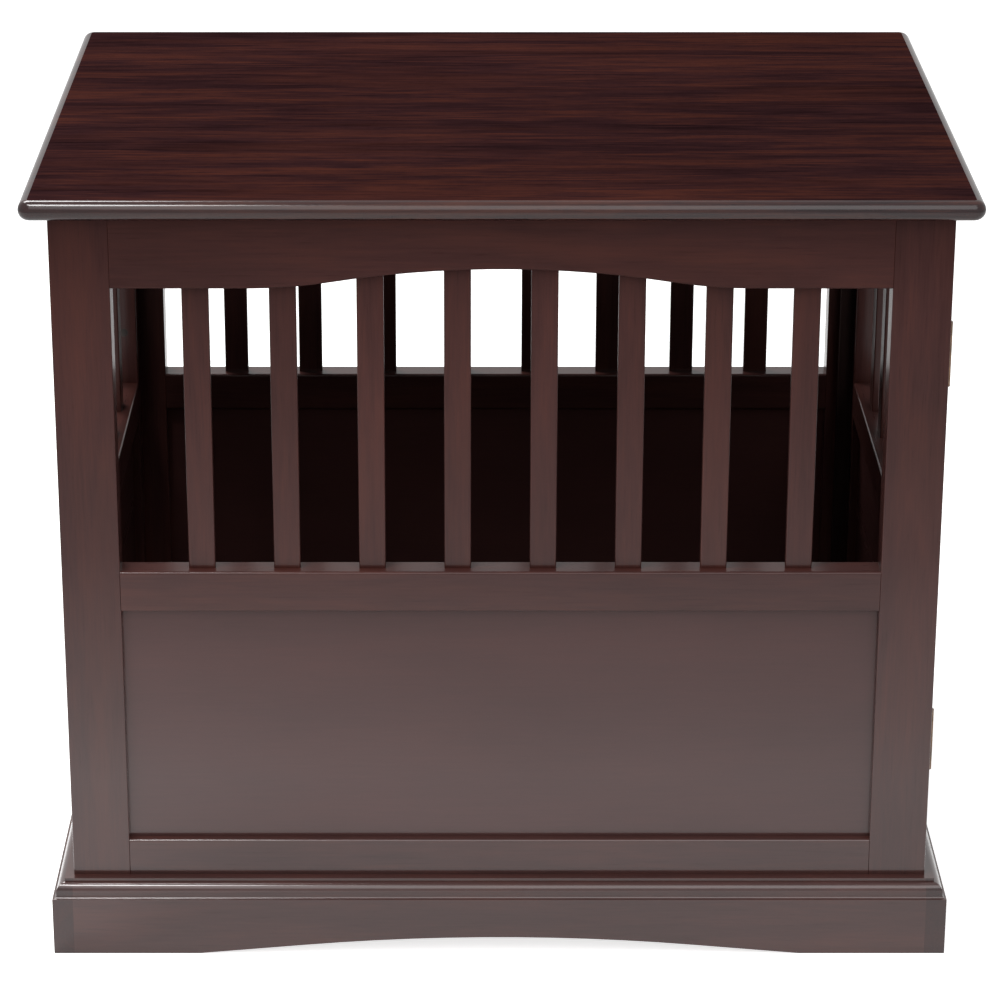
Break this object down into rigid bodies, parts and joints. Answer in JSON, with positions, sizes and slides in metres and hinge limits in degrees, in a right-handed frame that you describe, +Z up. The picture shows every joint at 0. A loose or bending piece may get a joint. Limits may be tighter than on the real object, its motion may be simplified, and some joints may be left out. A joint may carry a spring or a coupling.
{
  "type": "dog crate end table",
  "caption": "Wooden pet crate that doubles as an end table: bullnose top, slatted walls over flat panels, moulded plinth and a hinged end door with a barrel bolt.",
  "frame": {"origin": "on the floor, under the middle of the table top", "axes": "+Z up; +X to the right along the width, towards the door end; +Y from the front to the back"},
  "size_m": [0.7, 0.508, 0.61],
  "materials": {
    "top_wood": "espresso stain under satin lacquer, grain along the width",
    "frame_wood": "espresso stain under satin lacquer",
    "slat_wood": "espresso stain under satin lacquer",
    "panel_wood": "espresso stain under satin lacquer, a little greyer",
    "plinth_wood": "espresso stain under satin lacquer",
    "inner_wood": "espresso stain, thin coat",
    "hinge_brass": "antique brass",
    "latch_brass": "antique brass",
    "hardware_screws": "antique brass",
    "wood_screws": "zinc plated"
  },
  "bodies": {
    "crate": {"back_apron": "frame_wood", "back_bottom_rail": "frame_wood", "back_left_stile": "frame_wood", "back_mid_rail": "frame_wood", "back_panel": "panel_wood", "back_plinth": "plinth_wood", "back_right_stile": "frame_wood", "back_slats": "slat_wood", "batten_screws": "wood_screws", "corner_screws": "wood_screws", "door_head_rail": "inner_wood", "door_sill_rail": "inner_wood", "door_stops": "inner_wood", "floor_cleats": "inner_wood", "floor_panel": "inner_wood", "frame_screws": "hardware_screws", "front_apron": "frame_wood", "front_bottom_rail": "frame_wood", "front_left_stile": "frame_wood", "front_mid_rail": "frame_wood", "front_panel": "panel_wood", "front_plinth": "plinth_wood", "front_right_stile": "frame_wood", "front_slat_1": "slat_wood", "front_slat_2": "slat_wood", "front_slat_3": "slat_wood", "front_slat_4": "slat_wood", "front_slat_5": "slat_wood", "front_slat_6": "slat_wood", "front_slat_7": "slat_wood", "front_slat_8": "slat_wood", "hinge_pins": "hinge_brass", "latch_keeper": "latch_brass", "left_apron": "frame_wood", "left_back_stile": "frame_wood", "left_bottom_rail": "frame_wood", "left_front_stile": "frame_wood", "left_mid_rail": "frame_wood", "left_panel": "panel_wood", "left_plinth": "plinth_wood", "left_slats": "slat_wood", "lower_hinge_frame_leaf": "hinge_brass", "right_plinth": "plinth_wood", "top_battens": "inner_wood", "top_panel": "top_wood", "upper_hinge_frame_leaf": "hinge_brass"},
    "door": {"bolt_plate": "latch_brass", "door_apron": "frame_wood", "door_bottom_rail": "frame_wood", "door_hinge_stile": "frame_wood", "door_latch_stile": "frame_wood", "door_mid_rail": "frame_wood", "door_panel": "panel_wood", "door_screws": "hardware_screws", "door_slats": "slat_wood", "lower_hinge_door_leaf": "hinge_brass", "upper_hinge_door_leaf": "hinge_brass"},
    "bolt": {"latch_bolt": "latch_brass"}
  },
  "joints": [
    {"name": "door_hinge", "type": "hinge", "parent": "crate", "child": "door", "pos_m": [0.3327, -0.21115, 0.3], "axis": [0, 0, -1], "range_deg": [0, 180]},
    {"name": "bolt_slide", "type": "slide", "parent": "door", "child": "bolt", "axis": [0, 1, 0], "range_m": [0, 0.014]}
  ]
}
